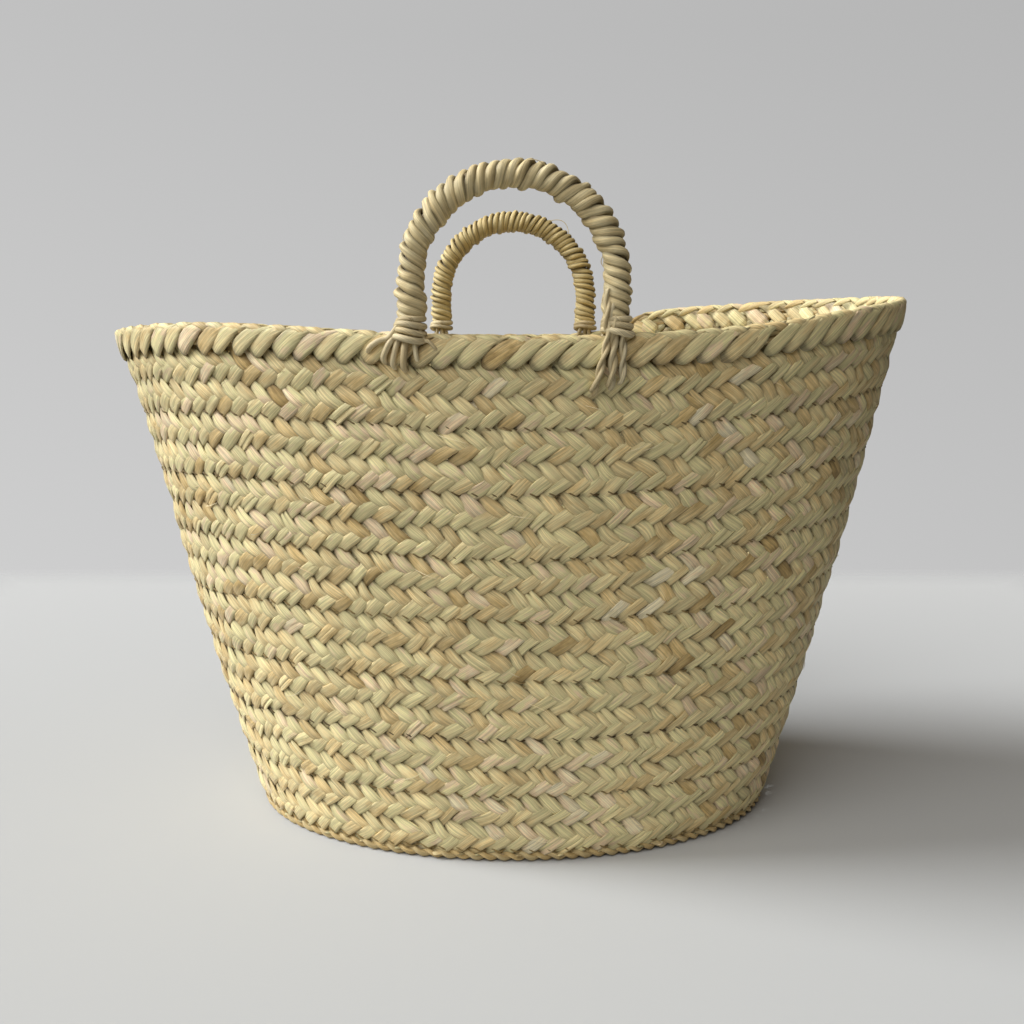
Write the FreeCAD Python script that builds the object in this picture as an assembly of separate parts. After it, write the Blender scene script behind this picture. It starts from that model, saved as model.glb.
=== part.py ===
"""Market basket plaited from palm leaf: an oval base, a flared wall of sewn courses and two rope handles.

Millimetres. The origin is the middle of the underside, +Z is up, the front wall faces -Y and +X is the
right-hand end. One long plait is sewn edge to edge in courses; each course is its own solid here, and the
thin cord that laces two courses together lies in the seam between them. The rim is the last selvedge,
folded over, and its height wanders as the basket sags. Each handle is a rope wrapped in palm leaf that
stands on the rim and is tied down at both feet with three cords that pass over the rim.
"""
import FreeCAD, Part
import math
import os

# Overall size, over the outside of the plait
TOP_LENGTH = 520.0
TOP_DEPTH = 292.0
BASE_LENGTH = 356.0
BASE_DEPTH = 240.0
RIM_HEIGHT = 324.0
WALL_BULGE = 4.0  # how far the wall stands outside a straight taper at half height

# The plait
WALL = 5.0  # thickness of two layers of folded leaf
COURSES = 8
SEAM_GAP = 1.6
SEAM_CORD = 1.4  # height and width of the lacing cord
WELT = 7.0  # the twisted edge that the basket stands on, square over its outside
RIM_FOLD_HEIGHT = 15.0
RIM_FOLD_THICKNESS = 7.0
RIM_TOP_FACETS = 6  # faces that round the rim's top edge
BASE_COIL_WIDTH = 38.0
BASE_LIFT = 0.8  # the floor of the basket hangs this far above what the welt stands on
EDGE_POINTS = 72  # points that each closed oval edge passes through

# The rim rises and falls as it goes round: degrees from the right-hand end by way of the back, millimetres
RIM_RISE = [(0, 24), (30, 23), (52, 19), (66, 13), (73, 0), (90, -4), (135, -1), (180, 0),
            (225, 8), (270, 1), (300, 6), (325, 17)]

# The handles
HANDLE_ARCH_RADIUS = 57.0  # to the middle of the rope
HANDLE_LEG = 18.0  # from the foot's hinge to where the arch begins
ROPE_RADIUS = 7.6
CORE_RADIUS = 4.6
LASHING_RADIUS = 1.3
LASHING_CORDS = 3
LASHING_SPACING = 4.4
LASHING_DROP = 24.0
LASHING_CLEARANCE = 0.15
FOOT_CLEARANCE = 0.4


def rim_rise(azimuth):
    """How far the rim stands above its nominal height, by a smooth closed curve through RIM_RISE."""
    count = len(RIM_RISE)
    turn = math.degrees(azimuth) % 360.0
    here = max(i for i in range(count) if RIM_RISE[i][0] <= turn)

    def point(i):
        angle, rise = RIM_RISE[i % count]
        return angle + 360.0 * (i // count), rise

    (a0, r0), (a1, r1), (a2, r2), (a3, r3) = [point(here + k) for k in (-1, 0, 1, 2)]
    step = a2 - a1
    s = (turn - a1) / step
    slope_1 = (r2 - r0) / (a2 - a0) * step
    slope_2 = (r3 - r1) / (a3 - a1) * step
    return (r1 * (2 * s**3 - 3 * s**2 + 1) + slope_1 * (s**3 - 2 * s**2 + s)
            + r2 * (3 * s**2 - 2 * s**3) + slope_2 * (s**3 - s**2))


def half_sizes(level):
    """The oval's half length and half depth at a share of the height, over the outside."""
    bulge = WALL_BULGE * 4 * level * (1 - level)
    return (BASE_LENGTH / 2 + (TOP_LENGTH - BASE_LENGTH) / 2 * level + bulge,
            BASE_DEPTH / 2 + (TOP_DEPTH - BASE_DEPTH) / 2 * level + bulge)


def surface_point(azimuth, level, inset=0.0, lift=0.0):
    """A point on the wall: inset is measured inwards from the outside, lift straight up."""
    half_length, half_depth = half_sizes(level)
    return FreeCAD.Vector((half_length - inset) * math.cos(azimuth), (half_depth - inset) * math.sin(azimuth),
                          level * (RIM_HEIGHT + rim_rise(azimuth)) + lift)


def oval_edge(level, inset, lift):
    """One closed smooth edge that runs round the basket."""
    points = [surface_point(2 * math.pi * i / EDGE_POINTS, level, inset, lift) for i in range(EDGE_POINTS)]
    curve = Part.BSplineCurve()
    curve.interpolate(Points=points, PeriodicFlag=True)
    return curve.toShape()


def ring(section):
    """A closed ring whose section has its corners at the given (level, inset, lift)."""
    edges = [oval_edge(*corner) for corner in section]
    faces = [Part.makeRuledSurface(edges[i - 1], edges[i]) for i in range(len(edges))]
    shell = Part.makeShell(faces)
    shell.sewShape()
    solid = Part.makeSolid(shell)
    if solid.Volume < 0:
        solid.reverse()
    return solid


def wall_ring(low, high, outer_inset, inner_inset):
    """A ring of wall between two shares of the height."""
    return ring([(low, outer_inset, 0.0), (high, outer_inset, 0.0), (high, inner_inset, 0.0), (low, inner_inset, 0.0)])


def flat_ring(outer_inset, inner_inset, bottom, top):
    """A flat ring of the base: its underside and its top are true planes."""
    outlines = [Part.Wire(oval_edge(0.0, inset, bottom)) for inset in (outer_inset, inner_inset)]
    return Part.makeFace(outlines, "Part::FaceMakerBullseye").extrude(FreeCAD.Vector(0, 0, top - bottom))


def base_parts():
    """The welt, the coils inside it, the strip that they start from and the cords that lace them."""
    parts = {"base_welt": flat_ring(0.0, WELT, 0.0, WELT)}
    cord_bottom = BASE_LIFT + (WALL - SEAM_CORD) / 2
    cord_side = (SEAM_GAP - SEAM_CORD) / 2
    inset = WELT
    for name in ("outer", "middle"):
        parts["base_seam_cord_" + name] = flat_ring(inset + cord_side, inset + cord_side + SEAM_CORD,
                                                    cord_bottom, cord_bottom + SEAM_CORD)
        inset += SEAM_GAP
        parts["base_coil_" + name] = flat_ring(inset, inset + BASE_COIL_WIDTH, BASE_LIFT, BASE_LIFT + WALL)
        inset += BASE_COIL_WIDTH
    parts["base_seam_cord_inner"] = flat_ring(inset + cord_side, inset + cord_side + SEAM_CORD,
                                              cord_bottom, cord_bottom + SEAM_CORD)
    inset += SEAM_GAP
    outline = Part.Ellipse(FreeCAD.Vector(0, 0, BASE_LIFT), BASE_LENGTH / 2 - inset, BASE_DEPTH / 2 - inset)
    parts["base_start_plait"] = Part.Face(Part.Wire(outline.toShape())).extrude(FreeCAD.Vector(0, 0, WALL))
    return parts


def rim_fold(foot):
    """The folded edge: thicker than the wall, with a round top."""
    radius = RIM_FOLD_THICKNESS / 2
    section = [(foot, WALL / 2 - radius, 0.0)]
    for i in range(RIM_TOP_FACETS + 1):
        turn = math.pi * i / RIM_TOP_FACETS
        section.append((1.0, WALL / 2 - radius * math.cos(turn), radius * (math.sin(turn) - 1)))
    section.append((foot, WALL / 2 + radius, 0.0))
    return ring(section)


def wall_parts():
    """The eight courses from the welt up, the cord in the seam under each one, and the folded rim."""
    parts = {}
    foot = WELT / RIM_HEIGHT
    top = 1 - RIM_FOLD_HEIGHT / RIM_HEIGHT
    pitch = (top - foot) / COURSES
    gap = SEAM_GAP / RIM_HEIGHT
    cord = SEAM_CORD / RIM_HEIGHT
    cord_inset = (WALL - SEAM_CORD) / 2
    for i in range(COURSES):
        low = foot + i * pitch
        cord_low = low + (gap - cord) / 2
        parts["wall_seam_cord_%d" % (i + 1)] = wall_ring(cord_low, cord_low + cord, cord_inset, cord_inset + SEAM_CORD)
        parts["wall_course_%d" % (i + 1)] = wall_ring(low + gap, low + pitch, 0.0, WALL)
    parts["rim_fold"] = rim_fold(top)
    return parts


def azimuth_at(x, side):
    """Where on the rim's oval x lies, on the front (side -1) or the back (side 1)."""
    return side * math.acos(x / half_sizes(1.0)[0])


def rim_middle(x, side):
    """The middle of the rim's top edge at x."""
    return surface_point(azimuth_at(x, side), 1.0, WALL / 2)


def hinge_height(side):
    """The height of a handle's hinge: its feet rest on the lashings, a clearance above them."""
    rim = max(rim_middle(end * HANDLE_ARCH_RADIUS, side).z for end in (-1, 1))
    return rim + LASHING_CLEARANCE + 2 * LASHING_RADIUS + FOOT_CLEARANCE + ROPE_RADIUS


def hinge_depth(side):
    """The distance of a handle's hinge from the middle plane, over the rim's middle."""
    return rim_middle(HANDLE_ARCH_RADIUS, side).y


def handle_path(side):
    """Up one leg, round the arch and down the other, as tangent edges."""
    y = hinge_depth(side)
    low = hinge_height(side)
    spring = low + HANDLE_LEG
    left_foot, left_top, crown, right_top, right_foot = [FreeCAD.Vector(x, y, z) for x, z in (
        (-HANDLE_ARCH_RADIUS, low), (-HANDLE_ARCH_RADIUS, spring), (0, spring + HANDLE_ARCH_RADIUS),
        (HANDLE_ARCH_RADIUS, spring), (HANDLE_ARCH_RADIUS, low))]
    return Part.Wire([Part.LineSegment(left_foot, left_top).toShape(),
                      Part.Arc(left_top, crown, right_top).toShape(),
                      Part.LineSegment(right_top, right_foot).toShape()])


def swept(path, radius):
    """A round section of the given radius along a path, as a solid."""
    start = path.Edges[0]
    heading = start.tangentAt(start.FirstParameter)
    circle = Part.Wire(Part.Circle(path.Vertexes[0].Point, heading, radius).toShape())
    return path.makePipeShell([circle], True, False)


def handle_parts(name, side):
    """The rope core of one handle and the leaf wrapping round it, with a rounded foot at both ends."""
    path = handle_path(side)
    core = swept(path, CORE_RADIUS)
    wrap = swept(path, ROPE_RADIUS)
    for foot in (path.Vertexes[0].Point, path.Vertexes[-1].Point):
        wrap = wrap.fuse(Part.makeSphere(ROPE_RADIUS, foot))
    wrap = wrap.cut(core).removeSplitter()
    return {name + "_handle_core": core, name + "_handle_wrap": wrap}


def lashing(x, side):
    """Three cords side by side under a foot, each up the outside, over the rim and down the inside."""
    cords = []
    turn_radius = RIM_FOLD_THICKNESS / 2 + LASHING_CLEARANCE + LASHING_RADIUS
    lean = math.degrees(math.atan2((TOP_DEPTH - BASE_DEPTH) / 2 - 4 * WALL_BULGE, RIM_HEIGHT))
    for i in range(LASHING_CORDS):
        across = x + (i - (LASHING_CORDS - 1) / 2) * LASHING_SPACING
        rim = rim_middle(across, side)
        over = rim.z + LASHING_CLEARANCE + LASHING_RADIUS
        bend = over - turn_radius
        out, middle, into = [FreeCAD.Vector(across, rim.y + y, z) for y, z in (
            (side * turn_radius, bend), (0, over), (-side * turn_radius, bend))]
        down = FreeCAD.Vector(0, 0, -LASHING_DROP)
        path = Part.Wire([Part.LineSegment(out + down, out).toShape(), Part.Arc(out, middle, into).toShape(),
                          Part.LineSegment(into, into + down).toShape()])
        cord = swept(path, LASHING_RADIUS)
        cord.rotate(rim, FreeCAD.Vector(1, 0, 0), -side * lean)
        cords.append(cord)
    return Part.makeCompound(cords)


def all_parts():
    """Every node's shape by name."""
    parts = base_parts()
    parts.update(wall_parts())
    for name, side in (("front", -1), ("rear", 1)):
        parts.update(handle_parts(name, side))
        for end, x in (("left", -HANDLE_ARCH_RADIUS), ("right", HANDLE_ARCH_RADIUS)):
            parts["%s_%s_lashing" % (name, end)] = lashing(x, side)
    return parts


os.makedirs("parts", exist_ok=True)
for node, shape in all_parts().items():
    shape.exportStep("parts/%s.step" % node)
    box = shape.BoundBox
    print("%-24s valid %s  %8.0f mm3  x %.1f..%.1f  y %.1f..%.1f  z %.1f..%.1f" % (
        node, shape.isValid(), shape.Volume, box.XMin, box.XMax, box.YMin, box.YMax, box.ZMin, box.ZMax))
for label, side in (("front", -1), ("rear", 1)):
    print("%s hinge at y %.2f z %.2f" % (label, hinge_depth(side), hinge_height(side)))
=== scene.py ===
# %% [markdown]
# # A market basket plaited from palm leaf
#
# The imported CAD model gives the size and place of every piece. This lesson builds the same basket
# again from its real material: about two and a half thousand strands of leaf and cord, most of which
# pass over and under each other, with a folded rim, laced seams and two rope handles wound with leaf.
# Lengths are written in millimetres and turned to metres only when a mesh is made.

# %% Load the frame
import math
import bpy
import numpy as np
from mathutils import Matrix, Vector


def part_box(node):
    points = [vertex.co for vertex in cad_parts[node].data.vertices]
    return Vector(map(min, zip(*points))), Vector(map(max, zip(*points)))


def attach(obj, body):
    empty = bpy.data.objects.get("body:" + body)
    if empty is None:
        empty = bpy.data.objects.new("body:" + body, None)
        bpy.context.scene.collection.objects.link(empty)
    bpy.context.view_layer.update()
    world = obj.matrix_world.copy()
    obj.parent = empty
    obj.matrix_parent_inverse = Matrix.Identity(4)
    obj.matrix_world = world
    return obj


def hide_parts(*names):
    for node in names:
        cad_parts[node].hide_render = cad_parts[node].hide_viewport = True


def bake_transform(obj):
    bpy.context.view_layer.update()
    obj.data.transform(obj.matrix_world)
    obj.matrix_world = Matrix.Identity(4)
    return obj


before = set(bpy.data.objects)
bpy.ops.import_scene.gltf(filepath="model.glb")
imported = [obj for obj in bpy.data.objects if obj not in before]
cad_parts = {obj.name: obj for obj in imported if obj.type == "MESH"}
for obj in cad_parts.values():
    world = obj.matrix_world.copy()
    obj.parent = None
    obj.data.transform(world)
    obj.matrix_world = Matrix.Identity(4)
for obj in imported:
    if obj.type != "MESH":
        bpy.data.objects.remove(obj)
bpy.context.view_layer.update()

MM = 0.001

# %% [markdown]
# ## The basket's form
#
# A plaited basket is a stack of ovals: longer at the mouth than at the base, with a slight belly.
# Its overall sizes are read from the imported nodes, so the strands lie where the CAD courses are.
# The sag of the rim and a few plain sizes are repeated here, because a node's box can't tell them.

# %% Sizes from the frame
def box_mm(node):
    """The lowest and highest corners of a node, in millimetres."""
    low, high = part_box(node)
    return np.array(low) / MM, np.array(high) / MM


WALL = 5.0  # thickness of the plait
WALL_BULGE = 4.0  # how far the wall stands outside a straight taper at half height
COURSES = 8
RIM_FOLD_HEIGHT = 15.0
RIM_RADIUS = 2.4  # of the round that the leaf ends fold over
WELT = box_mm("base_welt")[1][2]
BASE_HALF = box_mm("base_welt")[1][:2]
TOP_HALF = box_mm("rim_fold")[1][:2] - 1.0
RIM_HEIGHT = 324.0
# Degrees from the right-hand end by way of the back, and the rim's rise there.
RIM_RISE = np.array([(0, 24), (30, 23), (52, 19), (66, 13), (73, 0), (90, -4), (135, -1), (180, 0),
                     (225, 8), (270, 1), (300, 6), (325, 17)], float)
print("half sizes at base and top", BASE_HALF.round(1), TOP_HALF.round(1))


# %% [markdown]
# ## The wall as one formula
#
# A real basket takes its form from hands that pull the plait round while it is sewn. One formula could
# be replaced by a scan or a sculpted mesh, but a formula lets every strand ask where the wall is at any
# height and any turn, so nothing has to be fitted afterwards. The rim sags at the handles and stands
# high at the right-hand end. The left end of the mouth has been pulled outwards by use.

# %% The oval wall as a function
FLARE = 5.5  # how far the left end of the mouth has been pulled outwards
FLARE_LEVEL = 0.76  # the share of the height where that begins


def rim_rise(azimuth):
    """How far the rim stands above its nominal height: a smooth closed curve through RIM_RISE."""
    angles, rises = RIM_RISE.T
    angles = np.concatenate([[angles[-1] - 360], angles, [360, angles[1] + 360]])
    rises = np.concatenate([[rises[-1]], rises, rises[:2]])
    turn = np.degrees(azimuth) % 360
    k = np.searchsorted(angles, turn, side="right") - 1
    step = angles[k + 1] - angles[k]
    s = (turn - angles[k]) / step
    slope_1 = (rises[k + 1] - rises[k - 1]) / (angles[k + 1] - angles[k - 1]) * step
    after = np.minimum(k + 2, len(angles) - 1)
    slope_2 = (rises[after] - rises[k]) / (angles[after] - angles[k]) * step
    return (rises[k] * (2 * s**3 - 3 * s**2 + 1) + slope_1 * (s**3 - 2 * s**2 + s)
            + rises[k + 1] * (3 * s**2 - 2 * s**3) + slope_2 * (s**3 - s**2))


def wall_point(azimuth, level, inset):
    """A point on the wall at a share of its height, inset from the outside."""
    bulge = WALL_BULGE * 4 * level * (1 - level)
    upper = np.clip((level - FLARE_LEVEL) / (1 - FLARE_LEVEL), 0, 1.1)
    flare = FLARE * upper**1.5 * np.clip(-np.cos(azimuth), 0, 1) ** 3
    length = BASE_HALF[0] + (TOP_HALF[0] - BASE_HALF[0]) * level + bulge + flare - inset
    depth = BASE_HALF[1] + (TOP_HALF[1] - BASE_HALF[1]) * level + bulge - inset
    height = level * (RIM_HEIGHT + rim_rise(azimuth))
    return np.stack([length * np.cos(azimuth), depth * np.sin(azimuth), height], -1)


def unit(v):
    """Vectors made one unit long."""
    return v / np.maximum(np.linalg.norm(v, axis=-1, keepdims=True), 1e-9)


print("rim height at the right end and the front", RIM_HEIGHT + rim_rise(np.radians([0.0, 270.0])))

# %% [markdown]
# ## Sheets to lay strands on
#
# A strand is easy to draw on a flat strip: so far along, so far up, so far proud of the middle.
# A *sheet* is a function that bends such a strip into place. The wall, the base, the rim and the
# rope each have one, and every strand of the basket is drawn flat and then laid on its sheet.

# %% Sheets for the wall and the base
def arc_table(points):
    """Distance round a closed line of points, from its first point back to it."""
    steps = np.linalg.norm(np.diff(points, axis=0), axis=1)
    return np.concatenate([[0], np.cumsum(steps)])


def wall_sheet(low, high):
    """A course between two shares of the height. Returns its sheet, its length round and its width."""
    turn = np.linspace(0, 2 * np.pi, 721)
    around = arc_table(wall_point(turn, (low + high) / 2, WALL / 2))
    width = (high - low) * RIM_HEIGHT

    def place(s, v, h):
        azimuth = np.interp(s % around[-1], around, turn)
        level = high - v / RIM_HEIGHT
        e = 1e-3
        along = wall_point(azimuth + e, level, WALL / 2) - wall_point(azimuth - e, level, WALL / 2)
        up = wall_point(azimuth, level + e, WALL / 2) - wall_point(azimuth, level - e, WALL / 2)
        return wall_point(azimuth, level, WALL / 2) + unit(np.cross(along, up)) * h[..., None]

    return place, around[-1], width


def base_oval(azimuth, inset, height):
    """Points of a level oval of the base, inset from the basket's foot."""
    return np.stack([(BASE_HALF[0] - inset) * np.cos(azimuth), (BASE_HALF[1] - inset) * np.sin(azimuth),
                     0 * azimuth + height], -1)


def base_sheet(outer, inner, height):
    """A flat coil of the base between two insets. Its outer side is the underside."""
    turn = np.linspace(0, 2 * np.pi, 721)
    around = arc_table(base_oval(turn, (outer + inner) / 2, height))

    def place(s, v, h):
        azimuth = np.interp(s % around[-1], around, turn)
        return base_oval(azimuth, outer + v, height - h)

    return place, around[-1], inner - outer


# %% [markdown]
# ## From strands to a mesh
#
# Every strand becomes a closed tube with a flat, lens-shaped section, so it has a real thickness and
# real edges. Each vertex also keeps where it lies along and across its own leaf, two random numbers for
# that leaf and an amount of painted shade, so the material can draw fibres that follow the strand, give
# each leaf its own colour and darken it with painted shade. The texture map lays every strand out in a
# cell of its own.

# %% Strand mesh builder
def make_strands(name, points, along, across, leaf, material, painted_shade=None):
    """points is strands x rings x section x 3 in millimetres; along and across match it without the 3."""
    strands, rings, section = points.shape[:3]
    index = np.arange(strands * rings * section).reshape(strands, rings, section)
    a, b = index[:, :-1, :], index[:, 1:, :]
    quads = np.stack([a, np.roll(a, -1, 2), np.roll(b, -1, 2), b], -1).reshape(-1, 4)
    caps = np.concatenate([index[:, 0, ::-1], index[:, -1, :]])
    mesh = bpy.data.meshes.new(name)
    corners = np.concatenate([quads.ravel(), caps.ravel()])
    sizes = np.concatenate([np.full(len(quads), 4), np.full(len(caps), section)])
    mesh.vertices.add(strands * rings * section)
    mesh.vertices.foreach_set("co", (points * MM).astype(np.float32).ravel())
    mesh.loops.add(len(corners))
    mesh.loops.foreach_set("vertex_index", corners.astype(np.int32))
    mesh.polygons.add(len(sizes))
    mesh.polygons.foreach_set("loop_start", np.concatenate([[0], np.cumsum(sizes)[:-1]]).astype(np.int32))
    mesh.polygons.foreach_set("use_smooth", np.ones(len(sizes), bool))
    fibre = np.stack([along, across, np.broadcast_to(leaf[:, 0, None, None] * 900, along.shape)], -1)
    tone = np.broadcast_to(leaf[:, None, None, :], along.shape + (2,))
    # The leaf attribute's third value is painted shade: 0 leaves the colour as it is, 1 darkens it most.
    extra = np.zeros(along.shape) if painted_shade is None else painted_shade
    tone = np.concatenate([tone, extra[..., None]], -1)
    for label, values in (("fibre", fibre), ("leaf", tone)):
        attribute = mesh.attributes.new(label, "FLOAT_VECTOR", "POINT")
        attribute.data.foreach_set("vector", values.astype(np.float32).ravel())
    columns = max(1, round(math.sqrt(strands / 3.5)))
    rows = math.ceil(strands / columns)
    cell = np.arange(strands)
    left, low = (cell % columns) / columns, (cell // columns) / rows
    u = np.linspace(0.04, 0.96, rings) / columns
    v = np.linspace(0.04, 0.90, section + 1) / rows
    i, j = np.meshgrid(np.arange(rings - 1), np.arange(section), indexing="ij")
    ring_uv = np.stack([np.stack([u[i], v[j]], -1), np.stack([u[i], v[j + 1]], -1),
                        np.stack([u[i + 1], v[j + 1]], -1), np.stack([u[i + 1], v[j]], -1)], 2)
    quad_uv = np.stack([left, low], -1)[:, None, None, None, :] + ring_uv[None]
    circle = np.linspace(0, 2 * np.pi, section, endpoint=False)
    disc = np.stack([0.012 * np.cos(circle) / columns, 0.03 * np.sin(circle) / rows], -1)
    spots = np.stack([left, low], -1)
    first = spots[:, None] + np.array([0.02 / columns, 0.95 / rows]) + disc[::-1]
    last = spots[:, None] + np.array([0.98 / columns, 0.95 / rows]) + disc
    uv = np.concatenate([quad_uv.reshape(-1, 2), first.reshape(-1, 2), last.reshape(-1, 2)])
    mesh.uv_layers.new(name="OFBake").data.foreach_set("uv", uv.astype(np.float32).ravel())
    mesh.materials.append(material)
    mesh.update(calc_edges=True)
    mesh.validate()
    piece = bpy.data.objects.new(name, mesh)
    bpy.context.scene.collection.objects.link(piece)
    print(name, strands, "strands", len(quads), "quads")
    return piece


# %% [markdown]
# ## Colours and nodes
#
# Materials are drawn by nodes rather than painted, so they stay sharp at any distance and need no
# pictures. Three small functions keep that short: one turns a hex colour linear, one adds a node and
# one adds a colour ramp.

# %% Colour and node helpers
def linear(hex_colour):
    """An sRGB hex colour as linear RGBA."""
    channels = [int(hex_colour[i:i + 2], 16) / 255 for i in (1, 3, 5)]
    return [c / 12.92 if c <= 0.04045 else ((c + 0.055) / 1.055) ** 2.4 for c in channels] + [1.0]


def add(tree, kind, links=None, **settings):
    """Adds a node. Settings that name an input set it, others are properties; links feed inputs."""
    node = tree.nodes.new("ShaderNode" + kind)
    for key, value in settings.items():
        if key.startswith("in_"):
            node.inputs[int(key[3:])].default_value = value
        else:
            setattr(node, key, value)
    for key, source in (links or {}).items():
        tree.links.new(source, node.inputs[key])
    return node


def ramp(tree, source, stops, interpolation="LINEAR"):
    """A colour ramp over hex stops, fed by source."""
    node = add(tree, "ValToRGB", {0: source})
    node.color_ramp.interpolation = interpolation
    elements = node.color_ramp.elements
    while len(elements) < len(stops):
        elements.new(0.5)
    for element, (position, colour) in zip(elements, stops):
        element.position = position
        element.color = linear(colour)
    return node.outputs[0]


# %% [markdown]
# ## Palm leaf
#
# Everything here is dried palm leaf or cord made from it. Split leaf is matte with a faint waxy sheen,
# straw yellow where it dried in the sun and greener or pinker elsewhere, and its fibres run along it as
# fine parallel lines. Noise stretched along each strand gives both the blotches and the fibres. It is
# drawn in the leaf's own millimetres, so the lines turn with the strand as real veins do. One function
# makes every leaf and cord, because on the real basket only age, colour and twist differ.

# %% Palm leaf
def palm_leaf(name, stops, fibre_scale=1.0, roughness=0.6, streak=0.8, bump=0.5):
    """Dried palm leaf: each strand its own shade, blotches that drift along it, and fine fibres."""
    material = bpy.data.materials.new(name)
    material.use_nodes = True
    tree = material.node_tree
    shader = tree.nodes["Principled BSDF"]
    shader.inputs["Roughness"].default_value = roughness
    shader.inputs["IOR"].default_value = 1.45
    shader.inputs["Sheen Weight"].default_value = 0.08
    shader.inputs["Sheen Roughness"].default_value = 0.5
    fibre = add(tree, "Attribute", attribute_name="fibre").outputs["Vector"]
    leaf = add(tree, "SeparateXYZ", {0: add(tree, "Attribute", attribute_name="leaf").outputs["Vector"]})

    def grain(along, across, detail):
        """Noise stretched along the leaf, so many waves to the millimetre each way."""
        scaled = add(tree, "VectorMath", {0: fibre}, operation="MULTIPLY", in_1=(along, across, 1.0))
        noise = add(tree, "TexNoise", {"Vector": scaled.outputs[0]})
        noise.inputs["Scale"].default_value = 1.0
        noise.inputs["Detail"].default_value = detail
        noise.inputs["Roughness"].default_value = 0.6
        return noise.outputs["Fac"]

    def spread(value, low, high, to_low, to_high):
        """A value stretched from one range to another and held at its ends."""
        node = add(tree, "MapRange", {0: value})
        for key, number in (("From Min", low), ("From Max", high), ("To Min", to_low), ("To Max", to_high)):
            node.inputs[key].default_value = number
        return node.outputs[0]

    def times(a, b):
        return add(tree, "Math", {0: a, 1: b}, operation="MULTIPLY").outputs[0]

    # Blotches: the leaf's shade drifts over 8 to 20 mm along it.
    drift = spread(grain(0.06, 0.16, 3.0), 0.3, 0.7, -0.16, 0.16)
    shade = add(tree, "Math", {0: leaf.outputs[0], 1: drift}, operation="ADD", use_clamp=True)
    colour = ramp(tree, shade.outputs[0], stops)
    # Fibres: veins about 1 mm apart and finer lines between them, all running the whole strand.
    lines = grain(0.05 * fibre_scale, 2.4 * fibre_scale, 2.5)
    veins = grain(0.025 * fibre_scale, 0.85 * fibre_scale, 1.0)
    level = times(spread(lines, 0.34, 0.68, 1.0 - streak * 0.34, 1.0 + streak * 0.16),
                  spread(veins, 0.36, 0.66, 1.0 - streak * 0.22, 1.0 + streak * 0.14))
    # Painted shade from the leaf attribute's third value: the colour darkens where a strand dips under the
    # others, at its edges and in other hollows.
    level = times(level, spread(leaf.outputs[2], 0.0, 1.0, 1.0, 0.42))
    level = times(level, spread(leaf.outputs[1], 0.0, 1.0, 0.96, 1.20))
    toned = add(tree, "VectorMath", {0: colour, "Scale": level}, operation="SCALE")
    tree.links.new(toned.outputs[0], shader.inputs["Base Color"])
    ridges = add(tree, "Math", {0: lines, 1: veins}, operation="ADD").outputs[0]
    relief = add(tree, "Bump", {"Height": ridges})
    relief.inputs["Strength"].default_value = bump
    relief.inputs["Distance"].default_value = 0.0005
    tree.links.new(relief.outputs[0], shader.inputs["Normal"])
    return material


# From brown through straw and green-yellow to pink and bleached: one scale for a wall of mixed leaves.
STRAW = [(0.0, "#a1854f"), (0.14, "#c8ab70"), (0.30, "#dfc48b"), (0.46, "#e6d49e"), (0.60, "#e2d79f"),
         (0.72, "#eacea6"), (0.84, "#efe0b6"), (0.94, "#eee1bc"), (1.0, "#dccfa6")]
# Plaited leaf gives the eye a matte straw wall in which no two neighbours match.
leaf_plait = palm_leaf("Dried palm leaf, plaited", STRAW)
# The same leaf in broad ends, so the rim belongs to the wall below it.
leaf_rim = palm_leaf("Dried palm leaf, folded rim", STRAW)
# Twisted leaf is a shade browner, so the foot reads as a thin cord.
leaf_welt = palm_leaf("Dried palm leaf, twisted welt", [(0.0, "#a1854f"), (0.5, "#cbb078"), (1.0, "#e0cd9a")])
# Coarse dark fibre; its darkness also serves as painted shade that makes the seams look deep.
lacing = palm_leaf("Palm fibre lacing", [(0.0, "#5f4d2b"), (1.0, "#9a8350")], 1.5)
# Pale wound leaf gives creamy turns with brown edges.
leaf_pale = palm_leaf("Dried palm leaf, pale, wound",
                      [(0.0, "#a08553"), (0.3, "#c8b07c"), (0.6, "#dccb9c"), (1.0, "#ece1c0")])
# Golden wound leaf is warmer, so the rear handle looks older than the front one.
leaf_golden = palm_leaf("Dried palm leaf, golden, wound",
                        [(0.0, "#94793f"), (0.4, "#c6ac6d"), (0.7, "#dcc78d"), (1.0, "#efe3bb")])
# Palm fibre rope, coloured dark as painted shade, is seen only as depth between the turns of the wrap.
rope_core = palm_leaf("Palm fibre rope", [(0.0, "#4f4026"), (1.0, "#7d6840")], 1.5)
# Twine is pale and dull and shows its plies as slanted lines.
twine = palm_leaf("Two-ply palm twine", [(0.0, "#ad9668"), (0.5, "#cfbc90"), (1.0, "#e2d6b2")])
print("materials", sorted(material.name for material in bpy.data.materials))

# %% [markdown]
# ## Small irregularities
#
# Hands don't plait evenly, so every straight line here wanders a little. Random steps would tear a
# closed course where its end meets its start. A few sine waves with whole numbers of turns close on
# themselves, so they are used all round the basket.

# %% Small irregularities
def waves(seed, turns, count=5, most=26):
    """A smooth wander round the basket: several sine waves that close on themselves, about 1 high."""
    rng = np.random.default_rng(seed)
    total = 0.0
    for _ in range(count):
        total = total + np.sin(rng.integers(4, most) * turns * 2 * np.pi + rng.uniform(0, 6.3))
    return total / math.sqrt(count / 2)


# %% [markdown]
# ## Plaiting a course
#
# The plait is a twill: every strand passes over two and under two, so one row of floats leans down to
# the right and the next leans up to the right, and together they make rows of arrow heads. Two such
# rows of arrow heads make one plait. It could be a flat band with a bump texture, but then its edges and
# shadows would be flat too, so every strand is a solid of its own. Where a strand dips is decided by
# which strand it crosses there, so the dips follow the edges of the crossing strand as they do in real
# plait. Some leaves are split in two, and a few thin fibres stand up from the surface.

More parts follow.
